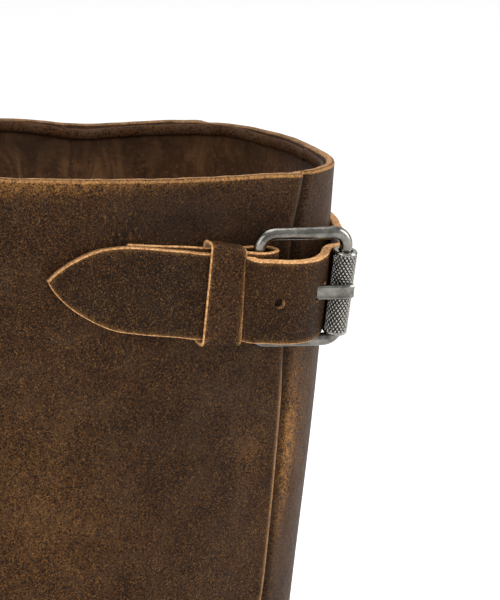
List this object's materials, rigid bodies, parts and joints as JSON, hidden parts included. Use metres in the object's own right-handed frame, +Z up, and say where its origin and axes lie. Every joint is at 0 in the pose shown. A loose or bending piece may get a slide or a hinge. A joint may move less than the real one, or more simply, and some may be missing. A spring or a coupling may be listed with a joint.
{
  "type": "engineer boot",
  "caption": "Left pull-on engineer boot: hollow leather shaft and vamp, buckled top and instep straps, welted sole and stacked heel.",
  "frame": {"origin": "on the floor under the middle of the heel, on the top lift's flat bottom face", "axes": "+Z up the shaft, -X to the toe, +Y to the inner side of the foot"},
  "size_m": [0.3026, 0.1132, 0.3162],
  "materials": {
    "upper_leather": "waxed brown pull-up leather, worn and scuffed",
    "strap_leather": "waxed brown leather with raw tan cut edges",
    "sole_leather": "dark burnished sole leather",
    "insole_leather": "plain vegetable-tanned insole leather",
    "rubber": "matte black rubber",
    "buckle_metal": "aged pewter"
  },
  "bodies": {
    "root": {"upper": "upper_leather", "vamp": "upper_leather", "heel_counter": "upper_leather", "insole": "insole_leather", "welt": "sole_leather", "outsole": "sole_leather", "heel_stack": "sole_leather", "top_lift": "rubber", "top_strap": "strap_leather", "top_strap_chape": "strap_leather", "top_strap_keeper": "strap_leather", "top_buckle_frame": "buckle_metal", "top_buckle_roller": "buckle_metal", "top_buckle_prong": "buckle_metal", "instep_strap": "strap_leather", "instep_strap_chape": "strap_leather", "instep_strap_keeper": "strap_leather", "instep_buckle_frame": "buckle_metal", "instep_buckle_roller": "buckle_metal", "instep_buckle_prong": "buckle_metal"}
  },
  "joints": []
}
